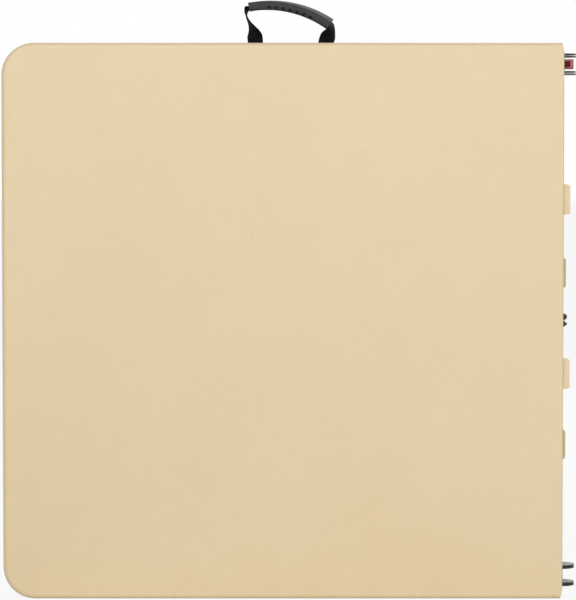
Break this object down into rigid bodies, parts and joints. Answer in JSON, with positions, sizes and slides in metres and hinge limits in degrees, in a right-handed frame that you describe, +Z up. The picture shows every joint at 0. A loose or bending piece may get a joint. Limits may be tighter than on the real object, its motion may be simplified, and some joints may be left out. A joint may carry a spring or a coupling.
{
  "type": "folding event table",
  "caption": "Fold-in-half moulded table with a carrying handle, interlocking fold edge, sliding hinge lock and folding braced legs stowed under the top.",
  "frame": {"origin": "middle of the table's footprint, on the surface that the folded table stands on", "axes": "+X towards the fold, +Y from the front half to the rear half, +Z up towards the handle"},
  "size_m": [0.7814, 0.0934, 0.8147],
  "materials": {
    "top_plastic": "fine-grained moulded plastic, warm almond",
    "rail_paint": "satin dark grey paint on pressed steel",
    "hinge_black": "satin black",
    "zinc": "zinc-plated",
    "lock_red": "satin red",
    "leg_paint": "satin grey powder coat on tube and strip",
    "black_plastic": "matt moulded plastic",
    "grip_plastic": "matt moulded plastic",
    "webbing": "woven webbing"
  },
  "bodies": {
    "front_half": {"front_top": "top_plastic", "front_upper_rail": "rail_paint", "front_lower_rail": "rail_paint", "front_cross_rail": "rail_paint", "upper_hinge_pin": "zinc", "lower_hinge_pin": "zinc", "front_middle_knuckle": "hinge_black", "middle_hinge_pin": "zinc", "lock_housing": "rail_paint", "front_leg_brackets": "leg_paint", "front_leg_pins": "zinc", "front_brace_anchors": "leg_paint", "front_anchor_rivets": "zinc", "front_leg_clips": "black_plastic", "front_screws": "zinc", "strap_ends": "webbing", "strap_screws": "zinc"},
    "rear_half": {"rear_top": "top_plastic", "rear_upper_rail": "rail_paint", "rear_lower_rail": "rail_paint", "rear_cross_rail": "rail_paint", "rear_middle_knuckle": "hinge_black", "lock_keeper": "rail_paint", "rear_leg_brackets": "leg_paint", "rear_leg_pins": "zinc", "rear_brace_anchors": "leg_paint", "rear_anchor_rivets": "zinc", "rear_leg_clips": "black_plastic", "rear_screws": "zinc"},
    "lock_bolt": {"lock_bolt": "lock_red"},
    "handle": {"handle_grip": "grip_plastic", "handle_strap": "webbing"},
    "front_leg_a": {"front_leg_a_tube": "leg_paint", "front_leg_a_plug": "black_plastic", "front_leg_a_foot": "black_plastic", "front_leg_a_rivet": "zinc"},
    "front_brace_a_upper": {"front_brace_a_upper_link": "leg_paint"},
    "front_brace_a_lower": {"front_brace_a_lower_link": "leg_paint"},
    "front_leg_b": {"front_leg_b_tube": "leg_paint", "front_leg_b_plug": "black_plastic", "front_leg_b_foot": "black_plastic", "front_leg_b_rivet": "zinc"},
    "front_brace_b_upper": {"front_brace_b_upper_link": "leg_paint"},
    "front_brace_b_lower": {"front_brace_b_lower_link": "leg_paint"},
    "rear_leg_a": {"rear_leg_a_tube": "leg_paint", "rear_leg_a_plug": "black_plastic", "rear_leg_a_foot": "black_plastic", "rear_leg_a_rivet": "zinc"},
    "rear_brace_a_upper": {"rear_brace_a_upper_link": "leg_paint"},
    "rear_brace_a_lower": {"rear_brace_a_lower_link": "leg_paint"},
    "rear_leg_b": {"rear_leg_b_tube": "leg_paint", "rear_leg_b_plug": "black_plastic", "rear_leg_b_foot": "black_plastic", "rear_leg_b_rivet": "zinc"},
    "rear_brace_b_upper": {"rear_brace_b_upper_link": "leg_paint"},
    "rear_brace_b_lower": {"rear_brace_b_lower_link": "leg_paint"}
  },
  "joints": [
    {"name": "table_fold", "type": "hinge", "parent": "front_half", "child": "rear_half", "pos_m": [0.37125, 0, 0.378], "axis": [0, 0, -1], "range_deg": [0, 180]},
    {"name": "lock_slide", "type": "slide", "parent": "front_half", "child": "lock_bolt", "axis": [1, 0, 0], "range_m": [0, 0.009]},
    {"name": "handle_swing", "type": "hinge", "parent": "front_half", "child": "handle", "pos_m": [0.00085, -0.0028, 0.7573], "axis": [1, 0, 0], "range_deg": [-60, 60], "stiffness_Nm_per_rad": 0.08},
    {"name": "front_leg_a_fold", "type": "hinge", "parent": "front_half", "child": "front_leg_a", "pos_m": [-0.33775, -0.0135, 0.723], "axis": [1, 0, 0], "range_deg": [0, 90]},
    {"name": "front_brace_a_upper_turn", "type": "hinge", "parent": "front_half", "child": "front_brace_a_upper", "pos_m": [-0.33775, -0.0135, 0.523], "axis": [-1, 0, 0], "range_deg": [0, 48.25]},
    {"name": "front_brace_a_lower_turn", "type": "hinge", "parent": "front_leg_a", "child": "front_brace_a_lower", "pos_m": [-0.33775, -0.0135, 0.499], "axis": [1, 0, 0], "range_deg": [0, 41.77]},
    {"name": "front_leg_b_fold", "type": "hinge", "parent": "front_half", "child": "front_leg_b", "pos_m": [-0.29175, -0.0135, 0.033], "axis": [-1, 0, 0], "range_deg": [0, 90]},
    {"name": "front_brace_b_upper_turn", "type": "hinge", "parent": "front_half", "child": "front_brace_b_upper", "pos_m": [-0.29175, -0.0135, 0.233], "axis": [1, 0, 0], "range_deg": [0, 48.25]},
    {"name": "front_brace_b_lower_turn", "type": "hinge", "parent": "front_leg_b", "child": "front_brace_b_lower", "pos_m": [-0.29175, -0.0135, 0.257], "axis": [-1, 0, 0], "range_deg": [0, 41.77]},
    {"name": "rear_leg_a_fold", "type": "hinge", "parent": "rear_half", "child": "rear_leg_a", "pos_m": [-0.33775, 0.0135, 0.033], "axis": [1, 0, 0], "range_deg": [0, 90]},
    {"name": "rear_brace_a_upper_turn", "type": "hinge", "parent": "rear_half", "child": "rear_brace_a_upper", "pos_m": [-0.33775, 0.0135, 0.233], "axis": [-1, 0, 0], "range_deg": [0, 48.25]},
    {"name": "rear_brace_a_lower_turn", "type": "hinge", "parent": "rear_leg_a", "child": "rear_brace_a_lower", "pos_m": [-0.33775, 0.0135, 0.257], "axis": [1, 0, 0], "range_deg": [0, 41.77]},
    {"name": "rear_leg_b_fold", "type": "hinge", "parent": "rear_half", "child": "rear_leg_b", "pos_m": [-0.29175, 0.0135, 0.723], "axis": [-1, 0, 0], "range_deg": [0, 90]},
    {"name": "rear_brace_b_upper_turn", "type": "hinge", "parent": "rear_half", "child": "rear_brace_b_upper", "pos_m": [-0.29175, 0.0135, 0.523], "axis": [1, 0, 0], "range_deg": [0, 48.25]},
    {"name": "rear_brace_b_lower_turn", "type": "hinge", "parent": "rear_leg_b", "child": "rear_brace_b_lower", "pos_m": [-0.29175, 0.0135, 0.499], "axis": [-1, 0, 0], "range_deg": [0, 41.77]}
  ],
  "couplings": [
    {"joint": "front_leg_a_fold", "follows": "table_fold", "ratio": 0.5},
    {"joint": "front_brace_a_upper_turn", "follows": "table_fold", "ratio": 0.268},
    {"joint": "front_brace_a_lower_turn", "follows": "table_fold", "ratio": 0.232},
    {"joint": "front_leg_b_fold", "follows": "table_fold", "ratio": 0.5},
    {"joint": "front_brace_b_upper_turn", "follows": "table_fold", "ratio": 0.268},
    {"joint": "front_brace_b_lower_turn", "follows": "table_fold", "ratio": 0.232},
    {"joint": "rear_leg_a_fold", "follows": "table_fold", "ratio": 0.5},
    {"joint": "rear_brace_a_upper_turn", "follows": "table_fold", "ratio": 0.268},
    {"joint": "rear_brace_a_lower_turn", "follows": "table_fold", "ratio": 0.232},
    {"joint": "rear_leg_b_fold", "follows": "table_fold", "ratio": 0.5},
    {"joint": "rear_brace_b_upper_turn", "follows": "table_fold", "ratio": 0.268},
    {"joint": "rear_brace_b_lower_turn", "follows": "table_fold", "ratio": 0.232}
  ]
}
